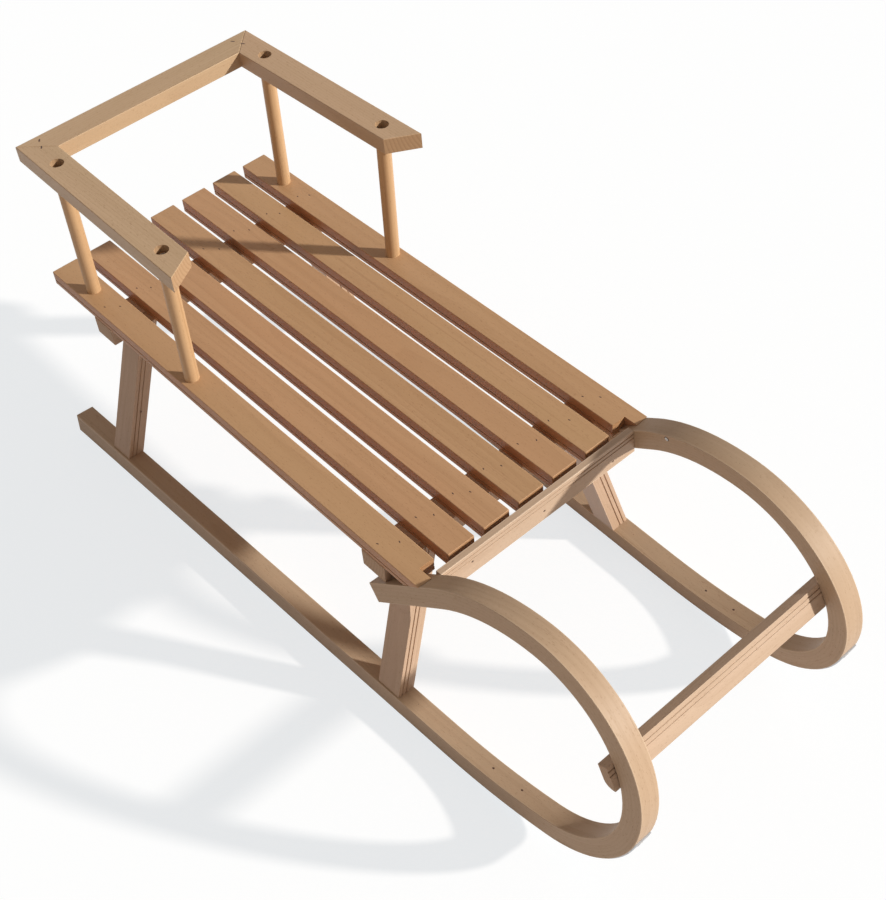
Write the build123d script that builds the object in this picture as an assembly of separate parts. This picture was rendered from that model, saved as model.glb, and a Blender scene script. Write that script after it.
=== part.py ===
from build123d import *
import os
from math import cos, radians, sin, tan

# Wooden sled with horned runners, a slatted seat and a child's backrest rail.
# Lengths are in millimetres, +X to the front, +Y to the sled's left, +Z up.
# Pieces are drawn from the slats' rear ends at X = 0 and moved at the end,
# so that the origin lies on the floor under the middle of the sled.

# Seat
seat_height = 259.0
seat_width = 343.0
slat_count = 7
slat_width = 37.5
slat_thick = 18.5
slat_length = 709.0
edge_round = 1.5
arris_round = 1.0
slat_groove_rise = 6.0  # of the groove along each side, over the slat's underside
outer_slat_extra = 11.0
notch_depth = 19.0
notch_width = 19.5
tip_trim = 4.0  # beyond the horn's outer face, where the slat's tip ends flush

# Runners: bent stock, flat on the ground, then swept up, round and back over.
# Each loop leans inwards and turns in a little towards the front.
runner_rear = 13.0
runner_width = 26.0
runner_thick = 25.0
runner_rear_thick = 28.0  # flat stretch, tapering to the sweep
runner_outset = 28.5  # outside the seat's edge, where the loop starts to turn in
runner_cant = 5.0  # lean, degrees
runner_toe = 1.6  # turn towards the front, degrees
toe_centre = 450.0
sweep_start = 757.0
sweep_radius = 708.0
sweep_angle = 12.9
horn_rise = 58.5  # top of the loops over the seat
horn_radius = 238.0
tail_angle = 36.5
tail_length = 127.0

# Steel shoes: flat strip under each runner, up to the front of the bend.
shoe_inset = 2.0  # from the wood's edge, each side
shoe_thick = 1.5
shoe_rear_gap = 6.0
shoe_end_angle = 60.0  # up the front bend

# Trestles: a yoke under the slats on two splayed legs.
yoke_width = 38.0
yoke_height = 24.5
yoke_overhang = 1.0
rear_yoke_setback = 25.5  # of its middle, behind the legs' axis under the slats
front_yoke_setback = 12.0
rear_leg_x = 118.0  # at the foot
front_leg_x = 659.5
rear_leg_rake = 5.5  # head forward of the foot, degrees
front_leg_rake = -1.0
leg_width = 35.0
leg_thick = 23.5
leg_splay = 16.5
leg_foot_inset = 2.0

# Moulded stock: two grooves run beside one edge of a front face.
groove_width = 1.6
groove_depth = 1.2
first_groove = 5.0
second_groove = 11.0

# Front crossbar, between the horns, and foot bar, inside their bend.
crossbar_thick = 8.0
crossbar_height = 35.5
crossbar_gap = 7.0  # behind it, to the slats' ends
crossbar_rise = 1.0  # above the slats
foot_bar_height = 31.0
foot_bar_thick = 13.0
foot_bar_round = 11.0  # along its lower back edge
foot_bar_angle = 24.0  # up from the bend's centre
foot_bar_overhang = 3.0

# Backrest rail on four round posts
rail_top = 460.0
rail_thick = 20.5
arm_width = 38.0
back_width = 37.0
rail_inset = 1.0  # inside the seat's edge, at the rear corners
arm_flare = 1.1  # outwards to the front, degrees
rail_rear = 14.2
arm_front = 350.0
arm_end_cut = 23.0
post_radius = 9.0
rear_post_x = 70.5
front_post_x = 293.5
post_lean = 8.0  # forward, from slat to arm
screw_hole_radius = 8.5
screw_hole_depth = 11.0
tenon_radius = 5.0
tenon_length = 8.0

# Fits
loose_fit = 0.3  # beside the bent runners
tenon_fit = 0.1
cut_margin = 1.0  # a cut begins this far outside its piece
foot_margin = 8.0  # and a leg is drawn this far below its foot

slat_bottom = seat_height - slat_thick
yoke_bottom = slat_bottom - yoke_height
rail_bottom = rail_top - rail_thick
rail_half_width = seat_width / 2 - rail_inset
runner_track = seat_width + 2 * runner_outset  # over the outer bottom edges of the wood
cant = radians(runner_cant)
toe = radians(runner_toe)
splay = radians(leg_splay)
sweep = radians(sweep_angle)
tail = radians(tail_angle)
flare = radians(arm_flare)
lift = shoe_thick * cos(cant) - shoe_inset * sin(cant)  # wood's lowest edge above the floor
loop_top = (seat_height + horn_rise - lift) / cos(cant)
bend_radius = (loop_top - sweep_radius * (1 - cos(sweep))) / (1 + cos(sweep))
bend_x = sweep_start + (sweep_radius - bend_radius) * sin(sweep)
bend_z = loop_top - bend_radius
loop_front = bend_x + bend_radius
foot_z = lift + runner_thick * cos(cant)

trestles = {
    "front": {"foot_x": front_leg_x, "rake": front_leg_rake, "setback": front_yoke_setback},
    "rear": {"foot_x": rear_leg_x, "rake": rear_leg_rake, "setback": rear_yoke_setback},
}


def on_sweep(angle, depth):
    """Point of the rising sweep, at a depth inside the runner's outer face."""
    reach = sweep_radius - depth
    return (sweep_start + reach * sin(angle), sweep_radius - reach * cos(angle))


def on_bend(angle, depth):
    """Point of the front bend, the angle counted from straight down."""
    reach = bend_radius - depth
    return (bend_x + reach * sin(angle), bend_z - reach * cos(angle))


def on_horn(angle, depth):
    """Point of the arc that comes back over the loop, counted from the top."""
    reach = horn_radius - depth
    return (bend_x - reach * sin(angle), loop_top - horn_radius + reach * cos(angle))


def bent_line(depth, start_x, bend_end, taper=0.0):
    """Edges along the runner's bottom and front bend, the first deeper by a taper at its start."""
    middle = (sweep + bend_end) / 2
    return [
        Line((start_x, depth + taper), (sweep_start, depth)),
        ThreePointArc(on_sweep(0, depth), on_sweep(sweep / 2, depth), on_sweep(sweep, depth)),
        ThreePointArc(on_bend(sweep, depth), on_bend(middle, depth), on_bend(bend_end, depth)),
    ]


def tail_tip(depth):
    start = on_horn(tail, depth)
    return (start[0] - tail_length * cos(tail), start[1] - tail_length * sin(tail))


def horn_line(depth):
    """Edges from the top of the bend back over and down to the tail's end."""
    return [
        ThreePointArc(on_horn(0, depth), on_horn(tail / 2, depth), on_horn(tail, depth)),
        Line(on_horn(tail, depth), tail_tip(depth)),
    ]


def slab_along_y(outline, y_low, y_high):
    """Solid between two heights of Y, from edges given in X and Z."""
    plane = Plane(origin=(0, y_high, 0), x_dir=(1, 0, 0), z_dir=(0, -1, 0))
    return extrude(plane * make_face(outline), amount=y_high - y_low)


def slab_along_x(corners, x_low, x_high):
    """Solid between two stations of X, from corners given in Y and Z."""
    plane = Plane(origin=(x_low, 0, 0), x_dir=(0, 1, 0), z_dir=(1, 0, 0))
    outline = Polyline(*corners, close=True)
    return extrude(plane * make_face(outline), amount=x_high - x_low)


def slab_along_z(corners, z_low, z_high):
    """Solid between two heights, from corners given in X and Y."""
    outline = Polyline(*corners, close=True)
    return extrude(Pos(0, 0, z_low) * make_face(outline), amount=z_high - z_low)


def leaned(solid):
    """Lean what is drawn upright in a right loop, whose outer face is at Y = 0."""
    return Pos(0, runner_width, lift) * Rot(-runner_cant, 0, 0) * Pos(0, -runner_width, 0) * solid


def toed(solid):
    """Turn a leaned piece in and put it under the right side of the seat."""
    turned = Rot(0, 0, runner_toe) * Pos(-toe_centre, 0, 0) * solid
    return Pos(toe_centre, -runner_track / 2, 0) * turned


def runner_point(across, up):
    """Y and Z of a point in a leaned runner's section, from its outer bottom edge."""
    inward = across - runner_width
    return (
        runner_width + inward * cos(cant) + up * sin(cant),
        lift - inward * sin(cant) + up * cos(cant),
    )


def horn_inner_y(z):
    """Y of a leaned horn's inner face at a height."""
    return runner_width + (z - lift) * tan(cant)


def rounded_top(solid, radius):
    return fillet(solid.edges().group_by(Axis.Z)[-1], radius)


def make_runner(growth=0.0):
    outer = bent_line(-growth, runner_rear, radians(180)) + horn_line(-growth)
    inner_depth = runner_thick + growth
    taper = runner_rear_thick - runner_thick
    inner = bent_line(inner_depth, runner_rear, radians(180), taper) + horn_line(inner_depth)
    ends = [
        Line((runner_rear, -growth), (runner_rear, inner_depth + taper)),
        Line(tail_tip(-growth), tail_tip(inner_depth)),
    ]
    return toed(leaned(slab_along_y(outer + inner + ends, -growth, runner_width + growth)))


def under_flat_top():
    """Room below the plane of a right runner's flat upper face."""
    corners = [
        (runner_rear, -runner_thick),
        (sweep_start, -runner_thick),
        (sweep_start, runner_thick),
        (runner_rear, runner_rear_thick),
    ]
    outline = Polyline(*corners, close=True)
    return leaned(slab_along_y(outline, -cut_margin, runner_width + cut_margin))


def make_shoe():
    tip = radians(shoe_end_angle)
    start_x = runner_rear + shoe_rear_gap
    outline = bent_line(-shoe_thick, start_x, tip) + bent_line(0, start_x, tip)
    outline.append(Line((start_x, -shoe_thick), (start_x, 0)))
    outline.append(Line(on_bend(tip, -shoe_thick), on_bend(tip, 0)))
    return toed(leaned(slab_along_y(outline, shoe_inset, runner_width - shoe_inset)))


def leg_axis_x(end, z):
    """Station of a leg's middle at a height."""
    return trestles[end]["foot_x"] + (z - foot_z) * tan(radians(trestles[end]["rake"]))


def yoke_block(end):
    half = seat_width / 2 + yoke_overhang
    middle_x = leg_axis_x(end, slat_bottom) - trestles[end]["setback"]
    middle_z = (yoke_bottom + slat_bottom) / 2
    return Pos(middle_x, 0, middle_z) * Box(yoke_width, 2 * half, yoke_height)


def raked_slab(end, rear_offset, front_offset):
    """Slab along a leg's rake, between two planes at these distances before its axis."""
    floor_x = leg_axis_x(end, 0)
    head_x = leg_axis_x(end, slat_bottom)
    corners = [
        (floor_x + rear_offset, 0),
        (floor_x + front_offset, 0),
        (head_x + front_offset, slat_bottom),
        (head_x + rear_offset, slat_bottom),
    ]
    return slab_along_y(Polyline(*corners, close=True), 0, runner_track / 2)


def make_leg(end):
    """Right leg: splayed and raked prism whose head laps over its yoke's front, up to the slats.

    Beside a horn the head is thickened outwards to the horn's inner face."""
    foot_outer = runner_point(leg_foot_inset, runner_thick)
    start_y = foot_outer[0] - foot_margin * tan(splay)
    start_z = foot_outer[1] - foot_margin
    across = leg_thick / cos(splay)
    head_shift = (slat_bottom - start_z) * tan(splay)
    corners = [(start_y, start_z)]
    if end == "front":
        # where the leg's outer side meets the plane of the horn's inner face
        side_gap = horn_inner_y(start_z) - start_y
        cheek_z = start_z + side_gap / (tan(splay) - tan(cant))
        corners.append((horn_inner_y(cheek_z), cheek_z))
        corners.append((horn_inner_y(slat_bottom), slat_bottom))
    else:
        corners.append((start_y + head_shift, slat_bottom))
    corners.append((start_y + head_shift + across, slat_bottom))
    corners.append((start_y + across, start_z))
    half = leg_width / 2
    leg = slab_along_x(corners, 0, loop_front) & raked_slab(end, -half, half)
    front_layer = raked_slab(end, half - groove_depth, half + cut_margin)
    for offset in (first_groove, second_groove):
        near = offset / cos(splay)
        far = (offset + groove_width) / cos(splay)
        groove = [
            (start_y + near, start_z),
            (start_y + near + head_shift, slat_bottom),
            (start_y + far + head_shift, slat_bottom),
            (start_y + far, start_z),
        ]
        leg -= slab_along_x(groove, 0, loop_front) & front_layer
    return toed(leg - under_flat_top()) - yoke_block(end)


def grooved_board(length, thick, height):
    """Board on edge along Y, its front face at X = 0 and its top at Z = 0."""
    board = Pos(-thick / 2, 0, -height / 2) * Box(thick, length, height)
    for offset in (first_groove, second_groove):
        middle = -offset - groove_width / 2
        cut = Box(2 * groove_depth, length + cut_margin, groove_width)
        board -= Pos(0, 0, middle) * cut
    return board


def make_crossbar():
    """Its ends lie against the horns' inner faces."""
    top = seat_height + crossbar_rise
    front_x = slat_length + crossbar_gap + crossbar_thick
    board = grooved_board(runner_track, crossbar_thick, crossbar_height)
    board = Pos(front_x, 0, top) * board
    room = Pos(loop_front / 2, runner_width + runner_track / 2, loop_top / 2)
    inside = toed(leaned(room * Box(loop_front, runner_track, loop_top)))
    return board & inside & mirror(inside, about=Plane.XZ)


def make_foot_bar(horn_space):
    """Its front face is a chord of the bend's hollow side, let in by the clearance."""
    chord = foot_bar_height / 2
    hollow = bend_radius - runner_thick
    centre_z = lift + bend_z * cos(cant)
    reach = (hollow**2 - chord**2) ** 0.5 * cos(cant)
    turned_in = (bend_x + reach - toe_centre) * tan(toe)
    half = runner_track / 2 - turned_in - centre_z * tan(cant) + foot_bar_overhang
    bar = grooved_board(2 * half, foot_bar_thick, foot_bar_height)
    long_edges = bar.edges().filter_by(Axis.Y)
    low_back = long_edges.sort_by(lambda edge: edge.center().X + edge.center().Z)[0]
    bar = Pos(reach, 0, chord) * fillet(low_back, foot_bar_round)
    return Pos(bend_x, 0, centre_z) * Rot(0, -foot_bar_angle, 0) * bar - horn_space


def rail_outer_y(x):
    """Distance of an arm's outer face from the sled's middle plane."""
    return rail_half_width + (x - rail_rear) * tan(flare)


def arm_inner_y(x):
    return rail_outer_y(x) - arm_width


def post_y(base_x):
    """Y of a right post, under the middle of its arm."""
    return arm_width / 2 - rail_outer_y(base_x)


def post_axis(base_x, z):
    """Station of a post's middle at a height."""
    share = (z - seat_height) / (rail_bottom - seat_height)
    return base_x + post_lean * share


def post_cylinder(base_x, radius, z_low, z_high):
    """Round stock along a post's leaning axis, cut level at both heights."""
    y = post_y(base_x)
    start = Vector(post_axis(base_x, z_low - radius), y, z_low - radius)
    end = Vector(post_axis(base_x, z_high + radius), y, z_high + radius)
    plane = Plane(origin=start, z_dir=end - start)
    rod = extrude(plane * Circle(radius), amount=(end - start).length)
    middle = Vector(post_axis(base_x, (z_low + z_high) / 2), y, (z_low + z_high) / 2)
    room = 4 * radius + post_lean
    return rod & (Pos(*middle) * Box(room, room, z_high - z_low))


def make_post(base_x):
    shaft = post_cylinder(base_x, post_radius, seat_height, rail_bottom)
    tenon = post_cylinder(
        base_x, tenon_radius, seat_height - tenon_length, rail_bottom + tenon_length
    )
    return shaft + tenon


def tenon_hole(base_x, z_low, z_high):
    return post_cylinder(base_x, tenon_radius + tenon_fit, z_low, z_high)


def make_slat(index, horn_space):
    pitch = (seat_width - slat_width) / (slat_count - 1)
    centre_y = -seat_width / 2 + slat_width / 2 + index * pitch
    outermost = index == 0
    length = slat_length + (outer_slat_extra if outermost else 0)
    slat = Pos(length / 2, centre_y, seat_height - slat_thick / 2) * Box(
        length, slat_width, slat_thick
    )
    slat = fillet(slat.edges().filter_by(Axis.Z), edge_round)
    slat = rounded_top(slat, arris_round)
    groove = Box(length + cut_margin, 2 * groove_depth, groove_width)
    for side_y in (centre_y - slat_width / 2, centre_y + slat_width / 2):
        slat -= Pos(length / 2, side_y, slat_bottom + slat_groove_rise) * groove
    if not outermost:
        return slat
    notch_y = -seat_width / 2 + slat_width - notch_width / 2
    notch = Box(2 * notch_depth, notch_width + cut_margin, 2 * (slat_thick + cut_margin))
    slat -= Pos(length, notch_y + cut_margin / 2, seat_height) * notch
    for base_x in (rear_post_x, front_post_x):
        slat -= tenon_hole(base_x, seat_height - tenon_length, seat_height)
    return slat - horn_space - Pos(0, -tip_trim, 0) * horn_space


def make_arm():
    inner_front = arm_front - arm_end_cut
    inner_rear = rail_rear + back_width
    corners = [
        (rail_rear, -rail_outer_y(rail_rear)),
        (arm_front, -rail_outer_y(arm_front)),
        (inner_front, -arm_inner_y(inner_front)),
        (inner_rear, -arm_inner_y(inner_rear)),
    ]
    arm = rounded_top(slab_along_z(corners, rail_bottom, rail_top), arris_round)
    for base_x in (rear_post_x, front_post_x):
        top_x = post_axis(base_x, rail_top)
        hole_middle = rail_top - screw_hole_depth / 2
        hole = Cylinder(screw_hole_radius, screw_hole_depth)
        arm -= Pos(top_x, post_y(base_x), hole_middle) * hole
        arm -= tenon_hole(base_x, rail_bottom, rail_bottom + tenon_length)
    return arm


def make_back_rail():
    rail_inner_x = rail_rear + back_width
    corners = [
        (rail_rear, -rail_half_width),
        (rail_rear, rail_half_width),
        (rail_inner_x, arm_inner_y(rail_inner_x)),
        (rail_inner_x, -arm_inner_y(rail_inner_x)),
    ]
    return rounded_top(slab_along_z(corners, rail_bottom, rail_top), arris_round)


horn_space = make_runner(loose_fit)
both_horns = horn_space + mirror(horn_space, about=Plane.XZ)

right = {
    "runner": make_runner(),
    "shoe": make_shoe(),
    "leg_front": make_leg("front"),
    "leg_rear": make_leg("rear"),
    "post_front": make_post(front_post_x),
    "post_rear": make_post(rear_post_x),
    "arm": make_arm(),
}
parts = {}
for name, solid in right.items():
    parts[name + "_right"] = solid
    parts[name + "_left"] = mirror(solid, about=Plane.XZ)

parts["yoke_front"] = yoke_block("front") - both_horns
parts["yoke_rear"] = yoke_block("rear")
parts["crossbar_front"] = make_crossbar()
parts["foot_bar"] = make_foot_bar(both_horns)
parts["back_rail"] = make_back_rail()
for index in range(slat_count - 1):
    parts[f"slat_{index + 1}"] = make_slat(index, horn_space)
parts[f"slat_{slat_count}"] = mirror(parts["slat_1"], about=Plane.XZ)

boxes = [solid.bounding_box() for solid in parts.values()]
middle_x = (min(box.min.X for box in boxes) + max(box.max.X for box in boxes)) / 2
os.makedirs("parts", exist_ok=True)
for name, solid in parts.items():
    placed = Pos(-middle_x, 0, 0) * solid
    export_step(placed, f"parts/{name}.step")
    print(f"{name:16s} {solid.volume:12.1f}")
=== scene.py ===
import math
import random

import bmesh
import bpy
from mathutils import Matrix, Vector


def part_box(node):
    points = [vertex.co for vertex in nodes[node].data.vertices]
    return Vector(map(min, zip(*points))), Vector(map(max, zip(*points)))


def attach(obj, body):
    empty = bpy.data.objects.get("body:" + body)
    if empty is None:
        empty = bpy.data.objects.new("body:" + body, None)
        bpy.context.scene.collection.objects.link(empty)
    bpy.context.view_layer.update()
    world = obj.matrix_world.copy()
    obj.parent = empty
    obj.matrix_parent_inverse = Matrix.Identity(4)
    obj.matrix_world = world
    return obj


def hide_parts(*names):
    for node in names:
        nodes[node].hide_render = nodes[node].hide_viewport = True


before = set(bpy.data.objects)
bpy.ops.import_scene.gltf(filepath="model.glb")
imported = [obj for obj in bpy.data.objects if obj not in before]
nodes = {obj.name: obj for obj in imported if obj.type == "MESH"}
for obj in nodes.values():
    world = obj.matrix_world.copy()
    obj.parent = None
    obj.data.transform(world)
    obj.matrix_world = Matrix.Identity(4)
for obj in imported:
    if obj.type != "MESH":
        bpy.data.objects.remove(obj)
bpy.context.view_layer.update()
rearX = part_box("slat_4")[0][0]      # the slats' rear ends, from which lengths along the sled are counted
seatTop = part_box("slat_4")[1][2]
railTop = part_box("back_rail")[1][2]
print("frame: loaded", len(nodes), "nodes")


# One socket of a shader. Sums and comparisons on it add Math nodes to its finish.
class Wire:
    def __init__(self, finish, socket):
        self.finish = finish
        self.socket = socket

    def math(self, operation, *others):
        values = dict(enumerate((self,) + others))
        return self.finish.node("ShaderNodeMath", {"operation": operation}, values)

    def __add__(self, other):
        return self.math("ADD", other)

    def __radd__(self, other):
        return self.math("ADD", other)

    def __sub__(self, other):
        return self.math("SUBTRACT", other)

    def __rsub__(self, other):
        return (self - other) * -1.0

    def __mul__(self, other):
        return self.math("MULTIPLY", other)

    def __truediv__(self, other):
        return self.math("DIVIDE", other)

    def __pow__(self, other):
        return self.math("POWER", other)

    def __abs__(self):
        return self.math("ABSOLUTE")

    def __gt__(self, other):
        return self.math("GREATER_THAN", other)

    def __lt__(self, other):
        return self.math("LESS_THAN", other)

    def part(self, name):
        return Wire(self.finish, self.socket.node.outputs[name])

    # 0 below low, 1 above high, smooth in between; low may be the larger
    def ramp(self, low, high, start=0.0, end=1.0):
        values = {"Value": self, "From Min": low, "From Max": high, "To Min": start, "To Max": end}
        return self.finish.node("ShaderNodeMapRange", {"interpolation_type": "SMOOTHSTEP"}, values)

    # the other value where the mask is 1
    def swap(self, mask, other):
        return self + (other - self) * mask


class Finish:
    def __init__(self, name, owner=None):
        self.material = owner or bpy.data.materials.new(name)
        self.material.use_nodes = True
        self.tree = self.material.node_tree
        self.tree.nodes.clear()

    def node(self, kind, settings=None, sockets=None, output=0):
        made = self.tree.nodes.new(kind)
        for key, value in (settings or {}).items():
            setattr(made, key, value)
        for key, value in (sockets or {}).items():
            if isinstance(value, Wire):
                self.tree.links.new(value.socket, made.inputs[key])
            else:
                made.inputs[key].default_value = value
        return Wire(self, made.outputs[output]) if len(made.outputs) else made

    def mix(self, factor, first, second):
        settings = {"data_type": "RGBA", "clamp_factor": True}
        return self.node("ShaderNodeMix", settings, {0: factor, 6: first, 7: second}, 2)

    def vector(self, operation, first, second, output=0):
        return self.node("ShaderNodeVectorMath", {"operation": operation}, {0: first, 1: second}, output)

    def join(self, x, y, z):
        return self.node("ShaderNodeCombineXYZ", None, {"X": x, "Y": y, "Z": z})

    # noise with its own scale along each axis, per metre
    def noise(self, place, scales, detail=2.0, roughness=0.5):
        stretched = self.vector("MULTIPLY", place, scales)
        values = {"Vector": stretched, "Scale": 1.0, "Detail": detail, "Roughness": roughness}
        return self.node("ShaderNodeTexNoise", None, values)

    # Object coordinates seen from a place and turn of their own
    def seenFrom(self, middle, turn):
        point = self.node("ShaderNodeTexCoord", None, None, "Object")
        values = {"Vector": point, "Location": middle, "Rotation": turn}
        return self.node("ShaderNodeMapping", {"vector_type": "TEXTURE"}, values)

    # 1 where the surface faces along a direction, or against it
    def facing(self, direction, low=0.55, high=0.8):
        normal = self.node("ShaderNodeTexCoord", None, None, "Normal")
        return abs(self.vector("DOT_PRODUCT", normal, direction, "Value")).ramp(low, high)

    # a surface from its sockets and the relief that bumps it
    def close(self, sockets, relief, depth, strength):
        shape = {"Height": relief, "Distance": depth, "Strength": strength}
        bump = self.node("ShaderNodeBump", None, shape)
        surface = self.node("ShaderNodeBsdfPrincipled", None, dict(sockets, Normal=bump))
        self.node("ShaderNodeOutputMaterial", None, {"Surface": surface})
        return self.material


def srgb(red, green, blue):
    def linear(value):
        share = value / 255
        return share / 12.92 if share <= 0.04045 else ((share + 0.055) / 1.055) ** 2.4
    return (linear(red), linear(green), linear(blue), 1.0)


def tint(color, red, green, blue):
    return (color[0] * red, color[1] * green, color[2] * blue, 1.0)


def dress(node, material):
    for slot in nodes[node].material_slots:
        slot.material = material


# A frame along a piece's grain: its middle, the axes along, across and through, and its half sizes.
class Grain:
    def __init__(self, node, along, across):
        self.along = Vector(along).normalized()
        through = self.along.cross(Vector(across)).normalized()
        self.across = through.cross(self.along)
        axes = Matrix((self.along, self.across, through))
        points = [axes @ vertex.co for vertex in nodes[node].data.vertices]
        low = [min(point[i] for point in points) for i in range(3)]
        high = [max(point[i] for point in points) for i in range(3)]
        self.half = [(b - a) / 2 for a, b in zip(low, high)]
        self.middle = axes.transposed() @ Vector([(a + b) / 2 for a, b in zip(low, high)])
        self.turn = axes.transposed().to_euler("XYZ")


# Beech. Scales are per metre along, across and through the grain, and tints multiply a piece's colour.
beech = {
    "shift": 5.0,
    "pithAcross": 0.02,
    "pithThrough": (0.03, 0.07),
    "slope": 0.035,
    "wander": {"scales": (3.0, 14.0, 14.0)},
    "fibre": {"scales": (12.0, 700.0, 700.0), "detail": 3.0, "roughness": 0.6},
    "band": {"scales": (1.8, 42.0, 42.0)},
    "cloud": {"scales": (4.0, 18.0, 18.0)},
    "fleck": {"scales": (230.0, 1300.0, 1300.0), "detail": 1.0, "roughness": 0.4},
    "streak": {"scales": (2.6, 260.0, 260.0), "detail": 1.0},
    "pores": {"scales": (300.0, 1400.0, 1400.0)},
    "ringPitch": 0.0042,
    "ringWander": 0.016,
    "lateStart": (0.35, 0.92),       # how dark late wood comes up within a ring
    "lateEnd": (1.0, 0.95),          # and breaks off
    "cloudRange": (0.3, 0.75, 0.25, 0.75),
    "fleckRange": (0.64, 0.74),
    "streakRange": (0.66, 0.8),
    "poreRange": (0.5, 0.75),
    "shade": 0.45,
    "fibreDepth": 0.6,
    "bandDepth": 0.9,
    "ringDepth": 0.10,
    "fleckDepth": 0.42,
    "streakDepth": 0.22,
    "cutLate": 0.35,
    "cutPores": 0.3,
    "light": (1.10, 1.10, 1.12),
    "dark": (0.84, 0.80, 0.74),
    "reddish": (1.05, 0.93, 0.90),
    "greenish": (0.94, 1.0, 0.88),
    "spot": (0.52, 0.40, 0.30),
    "cut": (0.86, 0.78, 0.7),
    # tint of the painted highlight along the arrises, lighter than the faces
    "arrisHighlightTint": (1.3, 1.36, 1.42),
    "rough": {"base": 0.41, "fibre": 0.16, "fleck": 0.12, "cut": 0.16},
    "relief": {"fibre": 0.5, "fleck": 0.35, "late": 0.15, "pores": 0.6},
    "reliefDepth": 0.0003,
    "refraction": 1.45,
    "shine": 0.25,                   # thin matt varnish, half of what the shader's default reflects
}


# Beech over a piece's own grain: u runs along it, v across and w through, in metres.
# cutMask is 1 on a sawn end.
def beechOver(finish, u, v, w, color, tone, seed, cutMask):
    draw = random.Random(seed)
    shift = [draw.uniform(-beech["shift"], beech["shift"]) for _ in range(3)]
    place = finish.vector("ADD", finish.join(u, v, w), shift)
    pithAcross = draw.uniform(-beech["pithAcross"], beech["pithAcross"])
    pithThrough = -draw.uniform(*beech["pithThrough"])
    slope = draw.uniform(-beech["slope"], beech["slope"])

    wander = finish.noise(place, **beech["wander"]) - 0.5
    across = v - pithAcross + u * slope
    through = w - pithThrough
    radius = (across * across + through * through) ** 0.5 + wander * beech["ringWander"]
    ring = (radius / beech["ringPitch"]).math("FRACT")
    late = ring.ramp(*beech["lateStart"]) * ring.ramp(*beech["lateEnd"])

    fibre = finish.noise(place, **beech["fibre"])
    band = finish.noise(place, **beech["band"])
    cloud = finish.noise(place, **beech["cloud"]).ramp(*beech["cloudRange"])
    fleck = finish.noise(place, **beech["fleck"]).ramp(*beech["fleckRange"])
    streak = finish.noise(place, **beech["streak"]).ramp(*beech["streakRange"])
    pores = finish.noise(place, **beech["pores"])

    hue = tint(color, *beech["reddish"]) if tone > 0 else tint(color, *beech["greenish"])
    spot = tint(color, *beech["spot"])
    shade = beech["shade"] + (fibre - 0.5) * beech["fibreDepth"] + (band - 0.5) * beech["bandDepth"]
    shown = finish.mix(shade, tint(color, *beech["light"]), tint(color, *beech["dark"]))
    shown = finish.mix(cloud * abs(tone), shown, hue)
    shown = finish.mix(late * beech["ringDepth"], shown, spot)
    shown = finish.mix(streak * beech["streakDepth"] * (1 - cutMask), shown, spot)
    shown = finish.mix(fleck * beech["fleckDepth"] * (1 - cutMask), shown, spot)
    cutShade = late * beech["cutLate"] + pores.ramp(*beech["poreRange"]) * beech["cutPores"]
    shown = finish.mix(cutMask, shown, finish.mix(cutShade, tint(color, *beech["cut"]), spot))

    parts = beech["rough"]
    rough = parts["base"] + (fibre - 0.5) * parts["fibre"] + fleck * parts["fleck"] + cutMask * parts["cut"]
    parts = beech["relief"]
    relief = fibre * parts["fibre"] - fleck * parts["fleck"] - late * parts["late"]
    return shown, rough, relief - cutMask * pores * parts["pores"]


def varnished(finish, shown, rough, relief, strength):
    sockets = {"Base Color": shown, "Roughness": rough}
    sockets.update({"IOR": beech["refraction"], "Specular IOR Level": beech["shine"]})
    return finish.close(sockets, relief, beech["reliefDepth"], strength)


# Straight pieces: the painted highlight line along their arrises, and how strong the painted shade on the
# slats' sides is
straight = {
    "arrisHighlightRange": (0.0016, 0.0004),
    "arrisHighlightPatch": {"scales": (30.0, 200.0, 200.0)},
    "arrisHighlightPatchRange": (0.3, 0.7, 0.5, 1.0),
    "sideShadeShare": 0.85,
    "sideShadeBlend": 0.5,
    "reliefStrength": 0.5,
}


# A painted highlight along a straight piece's long arrises, in patches a little lighter than its faces
def arrisHighlightLine(finish, v, w, half, place):
    inside = (half[1] - abs(v)).math("MAXIMUM", half[2] - abs(w))
    patch = finish.noise(place, **straight["arrisHighlightPatch"]).ramp(*straight["arrisHighlightPatchRange"])
    return inside.ramp(*straight["arrisHighlightRange"]) * patch


# The argument after seed is how much of that painted highlight shows, and sides is painted shade: the
# darker colour on a slat's long side faces.
def straightBeech(node, grain, color, tone, seed, arrisHighlight=0.0, sides=None):
    finish = Finish("beech_" + node)
    place = finish.seenFrom(grain.middle, grain.turn)
    u = finish.node("ShaderNodeSeparateXYZ", None, {"Vector": place}, "X")
    v = u.part("Y")
    w = u.part("Z")
    shown, rough, relief = beechOver(finish, u, v, w, color, tone, seed, finish.facing(grain.along))
    if sides:
        # painted shade: faces that look across the slat take a darker, redder colour
        shadedSideColor = finish.mix(straight["sideShadeBlend"], shown, sides)
        shown = finish.mix(finish.facing(grain.across) * straight["sideShadeShare"], shown, shadedSideColor)
    if arrisHighlight > 0:
        # painted highlight: a lighter line along the long arrises
        arrisHighlightMask = arrisHighlightLine(finish, v, w, grain.half, place)
        shown = finish.mix(arrisHighlightMask * arrisHighlight, shown, tint(color, *beech["arrisHighlightTint"]))
    return varnished(finish, shown, rough, relief, straight["reliefStrength"])


bothSides = {"right": -1, "left": 1}

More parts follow.
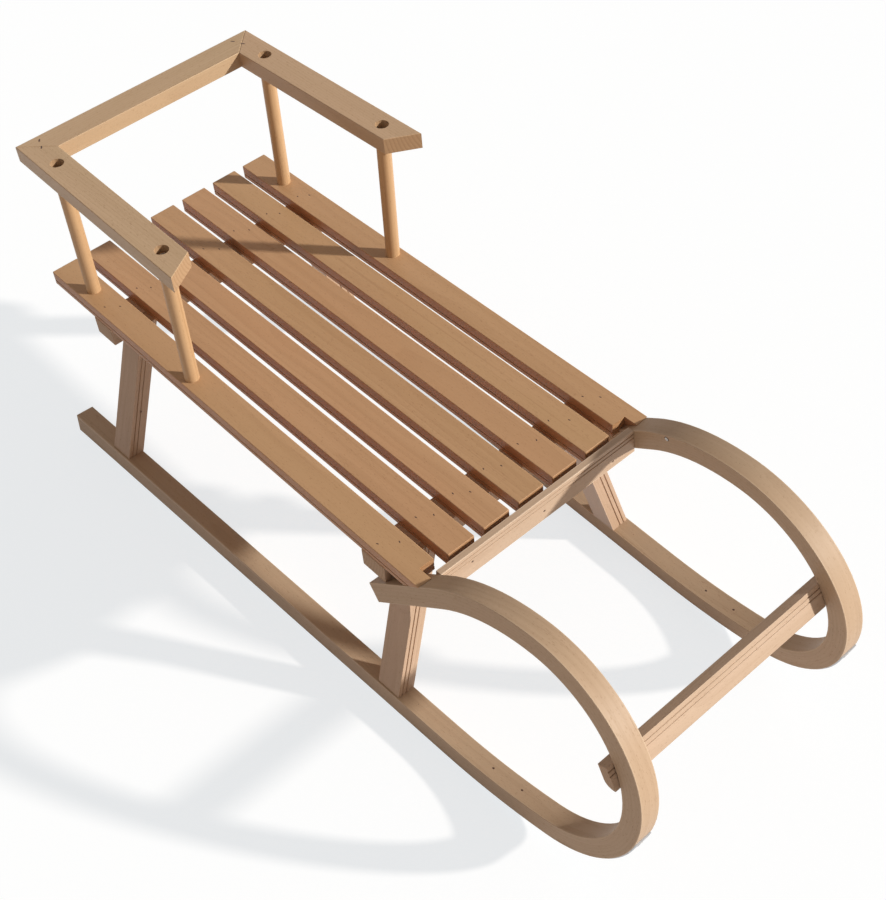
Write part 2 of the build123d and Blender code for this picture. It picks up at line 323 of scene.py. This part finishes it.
# Slats: along the sled, each its own board
slats = {
    "color": srgb(184, 146, 110),
    # painted shade of the slats' long side faces, darker and redder than their tops
    "sides": srgb(172, 108, 72),
    "tones": (-0.4, 0.4, 0.55, -0.3, 0.5, -0.45, -0.2),
    # how much of the painted arris highlight shows on the slats
    "arrisHighlight": 0.35,
    "seed": 11,
}
for i, tone in enumerate(slats["tones"]):
    node = f"slat_{i + 1}"
    grain = Grain(node, (1, 0, 0), (0, 1, 0))
    seed = slats["seed"] + i
    dress(node, straightBeech(node, grain, slats["color"], tone, seed, slats["arrisHighlight"], slats["sides"]))

# Backrest rail, each piece with its grain's direction and its tone
rails = {
    "color": srgb(184, 156, 126),
    "pieces": {
        "arm_right": ((1, 0, 0), -0.4),
        "arm_left": ((1, 0, 0), 0.3),
        "back_rail": ((0, 1, 0), -0.3),
    },
    "seed": 31,
}
for i, (node, (along, tone)) in enumerate(rails["pieces"].items()):
    dress(node, straightBeech(node, Grain(node, along, (0, 0, 1)), rails["color"], tone, rails["seed"] + i))

# Pieces that lie across the sled
crosswise = {
    "color": srgb(188, 164, 141),
    "tones": {"yoke_front": 0.5, "yoke_rear": 0.4, "crossbar_front": 0.2, "foot_bar": 0.15},
    "arrisHighlight": 0.8,
    "seed": 41,
}
for i, (node, tone) in enumerate(crosswise["tones"].items()):
    grain = Grain(node, (0, 1, 0), (0, 0, 1))
    seed = crosswise["seed"] + i
    dress(node, straightBeech(node, grain, crosswise["color"], tone, seed, crosswise["arrisHighlight"]))

# Legs and posts, with the legs' angles in degrees
legs = {
    "color": srgb(188, 161, 137),
    "arrisHighlight": 0.7,
    "splay": 16.5,
    "rake": {"rear": 5.5, "front": -1.0},
    "toe": 1.6,
    "tone": 0.3,
    "seed": 51,
}
posts = {
    "color": srgb(194, 158, 120),
    "axis": (0.008, 0, 0.1805),      # forward and up, from the slat to the arm
    "tone": -0.3,
    "seed": 61,
}
legGrain = {}
for i, (side, sign) in enumerate(bothSides.items()):
    for j, end in enumerate(("rear", "front")):
        rake = math.radians(legs["rake"][end])
        splay = math.radians(legs["splay"])
        toe = math.radians(legs["toe"])
        node = "leg_" + end + "_" + side
        along = (math.tan(rake), -sign * math.tan(splay), 1)
        grain = Grain(node, along, (math.cos(toe), -sign * math.sin(toe), 0))
        legGrain[end, sign] = grain
        seed = legs["seed"] + 2 * i + j
        dress(node, straightBeech(node, grain, legs["color"], legs["tone"], seed, legs["arrisHighlight"]))
        node = "post_" + end + "_" + side
        grain = Grain(node, posts["axis"], (0, 1, 0))
        dress(node, straightBeech(node, grain, posts["color"], posts["tone"], posts["seed"] + 2 * i + j))
print("wood: dressed the straight pieces")

# Runners: bent wood, flat, then a long sweep, a tight bend, the horn's back and a straight tail.
runners = {
    "outset": 0.2,                   # of the outer face, at toeX
    "toeX": 0.45,
    "toe": 1.6,
    "cant": 5.0,
    "lift": 0.00132,                 # of the wood's lowest edge, so that the steel is on the floor
    "width": 0.026,
    "thick": 0.025,
    "sweepX": 0.757,
    "sweepRadius": 0.708,
    "sweepTurn": 12.9,
    "bendRadius": 0.1517,
    "hornRadius": 0.238,
    "tailTurn": 36.5,
    "color": srgb(181, 157, 131),
    "tone": 0.4,
    # how much painted highlight shows along the runner's arrises, and how wide it is
    "arrisHighlight": 0.6,
    "arrisHighlightRange": (0.0018, 0.0004),
    "cutFacing": (0.9, 0.97),
    "cutReach": 0.05,                # of the rear end's sawn face
    "wear": 0.4,                     # darker, duller wood near the floor, in patches
    "wearHeight": 0.009,
    "wearPastBend": 0.1,
    "wearPatch": {"scales": (24.0, 90.0, 90.0), "detail": 3.0},
    "wearRange": (0.35, 0.75),
    "wearTint": (0.5, 0.42, 0.36),
    "wearRough": 0.12,
    "extraRough": 0.1,
    "reliefStrength": 0.6,
    "seed": 71,
}
sweepTurn = math.radians(runners["sweepTurn"])
tailTurn = math.radians(runners["tailTurn"])
sweepCentre = (runners["sweepX"], runners["sweepRadius"])
reach = runners["sweepRadius"] - runners["bendRadius"]
bendCentre = (sweepCentre[0] + reach * math.sin(sweepTurn), sweepCentre[1] - reach * math.cos(sweepTurn))
hornCentre = (bendCentre[0], bendCentre[1] + runners["bendRadius"] - runners["hornRadius"])
bendStart = runners["sweepX"] + runners["sweepRadius"] * sweepTurn
hornStart = bendStart + runners["bendRadius"] * (math.pi - sweepTurn)
tailStart = hornStart + runners["hornRadius"] * tailTurn
# Where each arc starts along the outer face, its centre, radius and the turn it starts with
arcs = [
    (runners["sweepX"], sweepCentre, runners["sweepRadius"], 0.0),
    (bendStart, bendCentre, runners["bendRadius"], sweepTurn),
    (hornStart, hornCentre, runners["hornRadius"], math.pi),
]


# The runner's own upright frame, whose y runs from the outer face inwards
def runnerFrame(sign):
    turned = Matrix.Translation((rearX + runners["toeX"], sign * runners["outset"], 0))
    turned = turned @ Matrix.Rotation(-sign * math.radians(runners["toe"]), 4, "Z")
    turned = turned @ Matrix.Translation((-runners["toeX"], -sign * runners["width"], runners["lift"]))
    turned = turned @ Matrix.Rotation(sign * math.radians(runners["cant"]), 4, "X")
    return turned @ Matrix.Translation((0, sign * runners["width"], 0))


# A spot on the runner, with the directions out of its outer face, along it and inwards
def runnerSpot(sign, station, across, depth):
    x = station
    z = 0.0
    turn = 0.0
    for start, centre, radius, startTurn in arcs:
        if station > start:
            turn = startTurn + (station - start) / radius
            x = centre[0] + radius * math.sin(turn)
            z = centre[1] - radius * math.cos(turn)
    outward = Vector((math.sin(turn), 0, -math.cos(turn)))
    along = Vector((math.cos(turn), 0, math.sin(turn)))
    placed = runnerFrame(sign)
    spot = placed @ (Vector((x, -sign * across, z)) - outward * depth)
    turned = placed.to_3x3()
    inward = turned @ Vector((0, -sign, 0))
    return {"spot": spot, "outward": turned @ outward, "along": turned @ along, "inward": inward}


# How far along the runner a point lies, how far across and how deep, so that the grain follows the bend
def bentPlace(finish, sign):
    placed = runnerFrame(sign)
    local = finish.seenFrom(placed.translation, placed.to_euler("XYZ"))
    x = finish.node("ShaderNodeSeparateXYZ", None, {"Vector": local}, "X")
    across = x.part("Y") * -sign
    z = x.part("Z")

    def around(centre, radius, start, startTurn, forward, upright):
        turn = forward.math("ARCTAN2", upright)
        depth = radius - (forward * forward + upright * upright) ** 0.5
        return turn, start + (turn - startTurn) * radius, depth

    sweepAngle, sweepAlong, sweepDepth = around(sweepCentre, runners["sweepRadius"], runners["sweepX"], 0.0,
                                                x - sweepCentre[0], sweepCentre[1] - z)
    bendAlong, bendDepth = around(bendCentre, runners["bendRadius"], bendStart, sweepTurn,
                                  x - bendCentre[0], bendCentre[1] - z)[1:]
    hornAngle, hornAlong, hornDepth = around(hornCentre, runners["hornRadius"], hornStart, 0.0,
                                             hornCentre[0] - x, z - hornCentre[1])
    back = x - (hornCentre[0] - runners["hornRadius"] * math.sin(tailTurn))
    down = z - (hornCentre[1] + runners["hornRadius"] * math.cos(tailTurn))
    tailAlong = tailStart - back * math.cos(tailTurn) - down * math.sin(tailTurn)
    tailDepth = back * math.sin(tailTurn) - down * math.cos(tailTurn)
    onHorn = (x < bendCentre[0]) * (z > bendCentre[1])
    onSweep = x > runners["sweepX"]
    onBend = (sweepAngle > sweepTurn) * onSweep
    onTail = onHorn * (hornAngle > tailTurn)
    station = x.swap(onSweep, sweepAlong).swap(onBend, bendAlong)
    station = station.swap(onHorn, hornAlong).swap(onTail, tailAlong)
    depth = z.swap(onSweep, sweepDepth).swap(onBend, bendDepth)
    depth = depth.swap(onHorn, hornDepth).swap(onTail, tailDepth)
    return station, across, depth


def bentBeech(side, sign, seed):
    finish = Finish("beech_runner_" + side)
    station, across, depth = bentPlace(finish, sign)
    rearFace = finish.facing(runnerSpot(sign, 0.0, 0.0, 0.0)["along"], *runners["cutFacing"])
    cutMask = rearFace * (station < runners["cutReach"])
    color = runners["color"]
    shown, rough, relief = beechOver(finish, station, across, depth, color, runners["tone"], seed, cutMask)
    # painted highlight: a lighter line along the runner's arrises
    fromSide = across.math("MINIMUM", runners["width"] - across)
    fromFace = depth.math("MINIMUM", runners["thick"] - depth)
    arrisHighlightMask = fromSide.math("MAXIMUM", fromFace).ramp(*runners["arrisHighlightRange"])
    shown = finish.mix(arrisHighlightMask * runners["arrisHighlight"], shown, tint(color, *beech["arrisHighlightTint"]))
    patch = finish.noise(finish.join(station, across, depth), **runners["wearPatch"])
    worn = depth.ramp(runners["wearHeight"], 0.0) * patch.ramp(*runners["wearRange"])
    worn = worn * (station < bendStart + runners["wearPastBend"])
    shown = finish.mix(worn * runners["wear"], shown, tint(color, *runners["wearTint"]))
    rough = rough + runners["extraRough"] + worn * runners["wearRough"]
    return varnished(finish, shown, rough, relief, runners["reliefStrength"])


# Shoes: steel strips under the runners, up the lower front of the bend
shoes = {
    "thick": 0.0015,
    "inset": 0.002,
    "ease": 0.0004,
    "start": 0.0185,
    "endTurn": 76.0,
    "rings": (4, 8, 24),             # steps along the flat, the sweep and the bend
    "sharp": 30.0,
    "steel": (0.46, 0.46, 0.47, 1.0),
    "dullSteel": (0.30, 0.27, 0.25, 1.0),
    "litSteel": (0.62, 0.62, 0.63, 1.0),
    "scratch": {"scales": (6.0, 1800.0, 300.0), "detail": 3.0, "roughness": 0.65},
    "scratchRange": (0.3, 0.7),
    "scratchDepth": 0.25,
    "scratchRough": 0.3,
    "dull": {"scales": (38.0, 120.0, 120.0), "detail": 3.0, "roughness": 0.6},
    "dullRange": (0.52, 0.72),
    "dullDepth": 0.6,
    "dullRough": 0.2,
    "roughness": 0.34,
    "reliefDepth": 0.0001,
    "reliefStrength": 0.4,
}


# Steel brushed along the runner, with dull spots
def brushedSteel(side, sign):
    finish = Finish("steel_shoe_" + side)
    place = finish.join(*bentPlace(finish, sign))
    scratch = finish.noise(place, **shoes["scratch"])
    dull = finish.noise(place, **shoes["dull"]).ramp(*shoes["dullRange"])
    shown = finish.mix(dull * shoes["dullDepth"], shoes["steel"], shoes["dullSteel"])
    lit = scratch.ramp(*shoes["scratchRange"]) * shoes["scratchDepth"]
    shown = finish.mix(lit, shown, shoes["litSteel"])
    rough = shoes["roughness"] + (scratch - 0.5) * shoes["scratchRough"] + dull * shoes["dullRough"]
    sockets = {"Base Color": shown, "Roughness": rough, "Metallic": 1.0}
    return finish.close(sockets, scratch, shoes["reliefDepth"], shoes["reliefStrength"])


# A strip along the runner's outer face, one ring of its section at each station. It stands for the
# CAD shoe, and runs on a little further up the bend.
def steelStrip(side, sign):
    near = shoes["inset"]
    far = runners["width"] - shoes["inset"]
    ease = shoes["ease"]
    thick = shoes["thick"]
    section = [(near, 0), (near, ease - thick), (near + ease, -thick)]
    section += [(far - ease, -thick), (far, ease - thick), (far, 0)]
    endStation = bendStart + runners["bendRadius"] * (math.radians(shoes["endTurn"]) - sweepTurn)
    stops = (shoes["start"], runners["sweepX"], bendStart, endStation)
    stations = [shoes["start"]]
    for first, last, count in zip(stops, stops[1:], shoes["rings"]):
        stations += [first + (last - first) * (k + 1) / count for k in range(count)]
    strip = bmesh.new()
    rings = []
    for station in stations:
        spots = [runnerSpot(sign, station, across, depth)["spot"] for across, depth in section]
        rings.append([strip.verts.new(spot) for spot in spots])
    for ring, nextRing in zip(rings, rings[1:]):
        for k in range(len(section)):
            after = (k + 1) % len(section)
            strip.faces.new((ring[k], ring[after], nextRing[after], nextRing[k]))
    strip.faces.new(rings[0])
    strip.faces.new(rings[-1])
    bmesh.ops.recalc_face_normals(strip, faces=strip.faces)
    mesh = bpy.data.meshes.new("steelStrip_" + side)
    strip.to_mesh(mesh)
    strip.free()
    mesh.polygons.foreach_set("use_smooth", [True] * len(mesh.polygons))
    mesh.set_sharp_from_angle(angle=math.radians(shoes["sharp"]))
    mesh.materials.append(brushedSteel(side, sign))
    piece = bpy.data.objects.new("steelStrip_" + side, mesh)
    bpy.context.scene.collection.objects.link(piece)
    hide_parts("shoe_" + side)
    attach(piece, "root")


for i, (side, sign) in enumerate(bothSides.items()):
    dress("runner_" + side, bentBeech(side, sign, runners["seed"] + i))
    steelStrip(side, sign)
print("runners: bent wood and steel shoes dressed")

# Soft arrises: the sharp edges of the frame's pieces are eased, as sandpaper leaves them
soft = {"wide": 0.0009, "narrow": 0.0005, "segments": 2, "angle": 50.0, "weld": 0.00001}


def easeArrises(node, width):
    tree = bpy.data.node_groups.get("joinFaces")
    if tree is None:
        tree = bpy.data.node_groups.new("joinFaces", "GeometryNodeTree")
        tree.interface.new_socket("Faces", in_out="INPUT", socket_type="NodeSocketGeometry")
        tree.interface.new_socket("Faces", in_out="OUTPUT", socket_type="NodeSocketGeometry")
        start = tree.nodes.new("NodeGroupInput")
        end = tree.nodes.new("NodeGroupOutput")
        merge = tree.nodes.new("GeometryNodeMergeByDistance")
        merge.inputs["Distance"].default_value = soft["weld"]
        plain = tree.nodes.new("GeometryNodeSetMeshNormal")
        plain.inputs["Remove Custom"].default_value = True
        tree.links.new(start.outputs[0], merge.inputs["Geometry"])
        tree.links.new(merge.outputs[0], plain.inputs["Mesh"])
        tree.links.new(plain.outputs[0], end.inputs[0])
    joined = nodes[node].modifiers.new("join", "NODES")
    joined.node_group = tree
    ease = nodes[node].modifiers.new("ease", "BEVEL")
    ease.width = width
    ease.segments = soft["segments"]
    ease.limit_method = "ANGLE"
    ease.angle_limit = math.radians(soft["angle"])
    ease.use_clamp_overlap = False
    ease.harden_normals = True


for node in nodes:
    if node.startswith(("runner_", "yoke_")):
        easeArrises(node, soft["wide"])
    if node.startswith(("leg_", "crossbar_", "foot_")):     # these have grooves near their edges
        easeArrises(node, soft["narrow"])
print("arrises: eased")


# A Geometry Nodes tree that sets one shape on every place of a mesh of points, turned to its attributes
class Pattern:
    def __init__(self, name, sizes):
        self.tree = bpy.data.node_groups.new(name, "GeometryNodeTree")
        sockets = self.tree.interface
        sockets.new_socket("Places", in_out="INPUT", socket_type="NodeSocketGeometry")
        for label, value in sizes.items():
            made = sockets.new_socket(label, in_out="INPUT", socket_type="NodeSocketFloat")
            made.default_value = value
        sockets.new_socket("Finish", in_out="INPUT", socket_type="NodeSocketMaterial")
        sockets.new_socket("Pieces", in_out="OUTPUT", socket_type="NodeSocketGeometry")
        self.start = self.node("NodeGroupInput")

    def node(self, kind, settings=None, sockets=None):
        made = self.tree.nodes.new(kind)
        for key, value in (settings or {}).items():
            setattr(made, key, value)
        for key, value in (sockets or {}).items():
            if isinstance(value, bpy.types.NodeSocket):
                self.tree.links.new(value, made.inputs[key])
            else:
                made.inputs[key].default_value = value
        return made

    def size(self, label):
        return self.start.outputs[label]

    def times(self, label, factor):
        values = {0: self.size(label), 1: factor}
        return self.node("ShaderNodeMath", {"operation": "MULTIPLY"}, values).outputs[0]

    def triple(self, x, y, z):
        return self.node("ShaderNodeCombineXYZ", None, {"X": x, "Y": y, "Z": z}).outputs[0]

    def attribute(self, name):
        settings = {"data_type": "FLOAT_VECTOR"}
        return self.node("GeometryNodeInputNamedAttribute", settings, {"Name": name}).outputs[0]

    def place(self, shape):
        axes = {"Primary Axis": self.attribute("facing"), "Secondary Axis": self.attribute("along")}
        turn = self.node("FunctionNodeAxesToRotation", {"primary_axis": "Z", "secondary_axis": "X"}, axes)
        sockets = {"Points": self.size("Places"), "Instance": shape, "Rotation": turn.outputs[0]}
        placed = self.node("GeometryNodeInstanceOnPoints", None, sockets)
        real = self.node("GeometryNodeRealizeInstances", None, {0: placed.outputs[0]})
        dressed = {0: real.outputs[0], "Material": self.size("Finish")}
        finished = self.node("GeometryNodeSetMaterial", None, dressed)
        self.node("NodeGroupOutput", None, {0: finished.outputs[0]})
        return self


# Nail heads: low oval domes, half of each in the wood
def nailPattern():
    pattern = Pattern("nailHeads", {"Length": 0.003, "Width": 0.0014, "Height": 0.0002})
    ball = pattern.node("GeometryNodeMeshUVSphere", None, {"Segments": 14, "Rings": 8, "Radius": 1.0})
    smooth = pattern.node("GeometryNodeSetShadeSmooth", None, {0: ball.outputs[0]})
    halfLength = pattern.times("Length", 0.5)
    scale = pattern.triple(halfLength, pattern.times("Width", 0.5), pattern.size("Height"))
    flat = pattern.node("GeometryNodeTransform", None, {"Geometry": smooth.outputs[0], "Scale": scale})
    return pattern.place(flat.outputs[0])


# Screw heads: round, with a cross recess
def screwPattern():
    sizes = {"Radius": 0.004, "Height": 0.001}
    sizes.update({"Slot Length": 0.005, "Slot Width": 0.001, "Slot Depth": 0.0007})
    pattern = Pattern("screwHeads", sizes)
    disc = {"Vertices": 28, "Radius": pattern.size("Radius"), "Depth": pattern.times("Height", 2.0)}
    head = pattern.node("GeometryNodeMeshCylinder", None, disc)
    lift = pattern.triple(0.0, 0.0, pattern.size("Height"))
    bars = []
    for sides in (("Slot Length", "Slot Width"), ("Slot Width", "Slot Length")):
        deep = pattern.times("Slot Depth", 2.0)
        size = pattern.triple(pattern.size(sides[0]), pattern.size(sides[1]), deep)
        bar = pattern.node("GeometryNodeMeshCube", None, {"Size": size})
        moved = {"Geometry": bar.outputs[0], "Translation": lift}
        raised = pattern.node("GeometryNodeTransform", None, moved)
        bars.append(raised.outputs[0])
    cut = pattern.node("GeometryNodeMeshBoolean", {"operation": "DIFFERENCE"}, {0: head.outputs[0]})
    for bar in bars:
        pattern.tree.links.new(bar, cut.inputs[1])
    return pattern.place(cut.outputs[0])


# Runs a pattern over places, each a spot, a direction it faces and one it lies along, into one plain mesh
def fasten(name, pattern, places, sizes, material):
    mesh = bpy.data.meshes.new(name)
    mesh.from_pydata([place[0] for place in places], [], [])
    for label, column in (("facing", 1), ("along", 2)):
        attribute = mesh.attributes.new(label, "FLOAT_VECTOR", "POINT")
        for value, place in zip(attribute.data, places):
            value.vector = place[column]
    holder = bpy.data.objects.new(name + "Places", mesh)
    bpy.context.scene.collection.objects.link(holder)
    modifier = holder.modifiers.new("pattern", "NODES")
    modifier.node_group = pattern.tree
    wanted = dict(sizes, Finish=material)
    for item in pattern.tree.interface.items_tree:
        if item.in_out == "INPUT" and item.name in wanted:
            modifier[item.identifier] = wanted[item.name]
    graph = bpy.context.evaluated_depsgraph_get()
    plain = bpy.data.meshes.new_from_object(holder.evaluated_get(graph), depsgraph=graph)
    bpy.data.objects.remove(holder)
    piece = bpy.data.objects.new(name, plain)
    bpy.context.scene.collection.objects.link(piece)
    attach(piece, "root")
    print("fastened:", name, len(places))


# Finishes of the fasteners: a colour with darker clouds
screwSteel = {
    "scales": (900.0, 900.0, 900.0),
    "range": (0.35, 0.7),
    "tint": (0.6, 0.52, 0.45),
    "roughness": 0.36,
    "metallic": 1.0,
    "strength": 0.3,
}
# the dark look of the nail heads and of the countersinks' painted shade
darkHoleLook = {
    "scales": (700.0, 700.0, 700.0),
    "range": (0.3, 0.7),
    "tint": (0.5, 0.45, 0.4),
    "roughness": 0.6,
    "metallic": 0.0,
    "strength": 0.4,
}
clouds = {"spread": 0.2, "reliefDepth": 0.0001}


def clouded(name, color, look):
    finish = Finish(name)
    cloud = finish.noise(finish.node("ShaderNodeTexCoord", None, None, "Object"), look["scales"])
    shown = finish.mix(cloud.ramp(*look["range"]), color, tint(color, *look["tint"]))
    rough = look["roughness"] + (cloud - 0.5) * clouds["spread"]
    sockets = {"Base Color": shown, "Roughness": rough, "Metallic": look["metallic"]}
    return finish.close(sockets, cloud, clouds["reliefDepth"], look["strength"])


brightSteel = clouded("steelScrew", (0.62, 0.60, 0.57, 1.0), screwSteel)
# the nails' colour: dark iron, and painted shade of the holes their heads are sunk in
darkIronAndHoleShade = clouded("ironNailAndHoleShade", srgb(82, 54, 38), darkHoleLook)
# painted shade: the dark colour of the flat ovals that stand for the horn screws' countersinks
countersinkShade = clouded("countersinkShadeRim", srgb(92, 62, 44), darkHoleLook)
nailHeads = nailPattern()
screwHeads = screwPattern()
up = Vector((0, 0, 1))
forward = Vector((1, 0, 0))


def spotOf(x, y, z):
    return Vector((rearX + x, y, z))


# Two nails in each slat over each yoke, on a slant, as they were driven; their dark heads are iron and also
# painted shade of the holes they are sunk in
seatNails = {
    "over": {"rear": ((0.1080, -0.0094), (0.1198, 0.0051)), "front": ((0.6466, -0.0106), (0.6584, 0.0059))},
    "wander": 0.0022,
    "slant": 0.5,
    "sizes": {"Length": 0.0034, "Width": 0.0015, "Height": 0.00022},
    "seed": 5,
}
draw = random.Random(seatNails["seed"])
places = []
for i in range(len(slats["tones"])):
    low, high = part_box(f"slat_{i + 1}")
    for pair in seatNails["over"].values():
        for x, y in pair:
            x += draw.uniform(-1, 1) * seatNails["wander"]
            y += (low[1] + high[1]) / 2 + draw.uniform(-1, 1) * seatNails["wander"]
            slant = draw.uniform(-seatNails["slant"], seatNails["slant"])
            places.append((spotOf(x, y, seatTop), up, Vector((1, slant, 0))))
fasten("seatNails", nailHeads, places, seatNails["sizes"], darkIronAndHoleShade)

# Short pins at the rail's corners, in the rear legs, the crossbar and the runners' upper faces
smallNails = {
    "corner": ((0.0242, 0.1432), (0.0385, 0.1489)),
    "cornerSlant": (-0.8, -0.6),
    "legHeight": 0.104,
    "crossbar": ((-0.1006, 0.244), (0.0048, 0.2385), (0.1113, 0.2349)),
    "runner": (0.300, 0.500, 0.699, 0.824, 0.870),
    "sizes": {"Length": 0.0034, "Width": 0.0024, "Height": 0.00025},
    "cornerSizes": {"Length": 0.0062, "Width": 0.0021, "Height": 0.00004},
}
places = []
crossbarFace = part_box("crossbar_front")[1][0]
for y, z in smallNails["crossbar"]:
    places.append((Vector((crossbarFace, y, z)), forward, Vector((0, 1, 0))))
for sign in bothSides.values():
    grain = legGrain["rear", sign]
    climb = (smallNails["legHeight"] - grain.middle.z) / grain.along.z
    spot = grain.middle + grain.along * climb + grain.across * grain.half[1]
    places.append((spot, grain.across, grain.along))
    for station in smallNails["runner"]:
        at = runnerSpot(sign, station, runners["width"] / 2, runners["thick"])
        places.append((at["spot"], -at["outward"], at["along"]))
fasten("smallNails", nailHeads, places, smallNails["sizes"], darkIronAndHoleShade)
places = []
for sign in bothSides.values():
    for x, y in smallNails["corner"]:
        slant = Vector((smallNails["cornerSlant"][0], sign * smallNails["cornerSlant"][1], 0))
        places.append((spotOf(x, sign * y, railTop), up, slant))
fasten("cornerNails", nailHeads, places, smallNails["cornerSizes"], darkIronAndHoleShade)

# Screws in the rails' counterbores, down into the posts
railScrews = {
    "at": ((0.0794, 0.1526), (0.3024, 0.1569)),
    "depth": 0.011,
    "sizes": {
        "Radius": 0.0052,
        "Height": 0.0024,
        "Slot Length": 0.0062,
        "Slot Width": 0.0013,
        "Slot Depth": 0.0016,
    },
    "seed": 7,
}
draw = random.Random(railScrews["seed"])
places = []
for sign in bothSides.values():
    for x, y in railScrews["at"]:
        angle = draw.uniform(0, math.pi)
        places.append((spotOf(x, sign * y, railTop - railScrews["depth"]), up,
                       Vector((math.cos(angle), math.sin(angle), 0))))
fasten("railScrews", screwHeads, places, railScrews["sizes"], brightSteel)

# One screw through each horn's inner face, ahead of the crossbar; the dark flat oval around its head is
# painted shade that stands for a countersink
hornScrews = {
    "turn": 26.5,
    "depth": 0.0046,
    "head": {
        "Radius": 0.0021,
        "Height": 0.0005,
        "Slot Length": 0.0026,
        "Slot Width": 0.0005,
        "Slot Depth": 0.0003,
    },
    "rim": {"Length": 0.0068, "Width": 0.0064, "Height": 0.00018},
}
places = []
for sign in bothSides.values():
    station = hornStart + runners["hornRadius"] * math.radians(hornScrews["turn"])
    at = runnerSpot(sign, station, runners["width"], hornScrews["depth"])
    places.append((at["spot"], at["inward"], at["along"]))
fasten("hornCountersinkShades", nailHeads, places, hornScrews["rim"], countersinkShade)
fasten("hornScrews", screwHeads, places, hornScrews["head"], brightSteel)

# Countersunk screws that hold each steel shoe from below and in front
shoeScrews = {
    "stations": (0.045, 0.22, 0.40, 0.58, 0.76, 0.93, 1.07),
    "sizes": {
        "Radius": 0.0036,
        "Height": 0.00035,
        "Slot Length": 0.0046,
        "Slot Width": 0.0009,
        "Slot Depth": 0.0003,
    },
}
places = []
for sign in bothSides.values():
    for station in shoeScrews["stations"]:
        at = runnerSpot(sign, station, runners["width"] / 2, -shoes["thick"])
        places.append((at["spot"], at["outward"], at["along"]))
fasten("shoeScrews", screwHeads, places, shoeScrews["sizes"], brightSteel)

# Camera at the photograph's place, and its roll
camera = {
    "location": (0.98350, -0.71769, 1.48472),
    "azimuth": 52.6,
    "elevation": 47.05,
    "roll": -5.86,
    "lens": 60.12,
    "clip": (0.05, 50),
}
azimuth = math.radians(camera["azimuth"])
elevation = math.radians(camera["elevation"])
roll = math.radians(camera["roll"])
back = Vector((math.sin(azimuth) * math.cos(elevation), -math.cos(azimuth) * math.cos(elevation),
               math.sin(elevation)))
level = Vector((math.cos(azimuth), math.sin(azimuth), 0))
right = math.cos(roll) * level + math.sin(roll) * back.cross(level)
axes = Matrix((right, back.cross(right), back)).transposed()
lensData = bpy.data.cameras.new("camera")
lensData.lens = camera["lens"]
lensData.clip_start = camera["clip"][0]
lensData.clip_end = camera["clip"][1]
cameraObject = bpy.data.objects.new("camera", lensData)
cameraObject.matrix_world = Matrix.Translation(camera["location"]) @ axes.to_4x4()
bpy.context.scene.collection.objects.link(cameraObject)
bpy.context.scene.camera = cameraObject

# Studio: a low key from the front left, a pale world and a white floor that keeps the shadow
studio = {
    "keyDirection": (0.718, 0.566, 0.407),
    "keyStrength": 4.4,
    "keyAngle": 2.5,
    "keyColor": (1.0, 0.99, 0.95),
    "worldColor": (1.0, 0.88, 0.80, 1.0),
    "worldStrength": 0.34,
    "floorColor": (0.84, 0.78, 0.74, 1.0),
    "floorShare": 0.6,               # how much of the floor's look is its own white, where it shows
    "floorGlow": (0.908, 0.957, 0.99, 1.0),
    "floorGlowStrength": 1.258,
    "floorSize": 20,
    "white": (1.0, 1.0, 1.0, 1.0),
}
keyData = bpy.data.lights.new("key", "SUN")
keyData.energy = studio["keyStrength"]
keyData.angle = math.radians(studio["keyAngle"])
keyData.color = studio["keyColor"]
keyObject = bpy.data.objects.new("key", keyData)
keyObject.rotation_mode = "QUATERNION"
keyObject.rotation_quaternion = Vector(studio["keyDirection"]).to_track_quat("Z", "Y")
bpy.context.scene.collection.objects.link(keyObject)


# 1 where the camera looks straight at the white, or sees it in metal or through glass
def whiteMask(finish):
    seen = finish.node("ShaderNodeLightPath", None, None, "Is Camera Ray")
    mirrored = seen.part("Is Glossy Ray")
    return seen.math("MAXIMUM", mirrored).math("MAXIMUM", seen.part("Is Transmission Ray"))


world = bpy.data.worlds.new("world")
bpy.context.scene.world = world
sky = Finish("world", world)
ambient = {"Color": studio["worldColor"], "Strength": studio["worldStrength"]}
skyLight = sky.node("ShaderNodeBackground", None, ambient)
backdrop = sky.node("ShaderNodeBackground", None, {"Color": studio["white"], "Strength": 1.0})
shownSky = sky.node("ShaderNodeMixShader", None, {0: whiteMask(sky), 1: skyLight, 2: backdrop})
sky.node("ShaderNodeOutputWorld", None, {"Surface": shownSky})

floorMesh = bmesh.new()
bmesh.ops.create_grid(floorMesh, x_segments=2, y_segments=2, size=studio["floorSize"])
floorData = bpy.data.meshes.new("floor")
floorMesh.to_mesh(floorData)
floorMesh.free()
floorObject = bpy.data.objects.new("floor", floorData)
bpy.context.scene.collection.objects.link(floorObject)
floorFinish = Finish("floor")
matt = floorFinish.node("ShaderNodeBsdfDiffuse", None, {"Color": studio["floorColor"]})
white = {"Color": studio["floorGlow"], "Strength": studio["floorGlowStrength"]}
glow = floorFinish.node("ShaderNodeEmission", None, white)
share = whiteMask(floorFinish) * studio["floorShare"]
lifted = floorFinish.node("ShaderNodeMixShader", None, {0: share, 1: matt, 2: glow})
floorFinish.node("ShaderNodeOutputMaterial", None, {"Surface": lifted})
floorData.materials.append(floorFinish.material)
bpy.context.scene.view_settings.view_transform = "Standard"
print("studio: camera, key, world and floor")
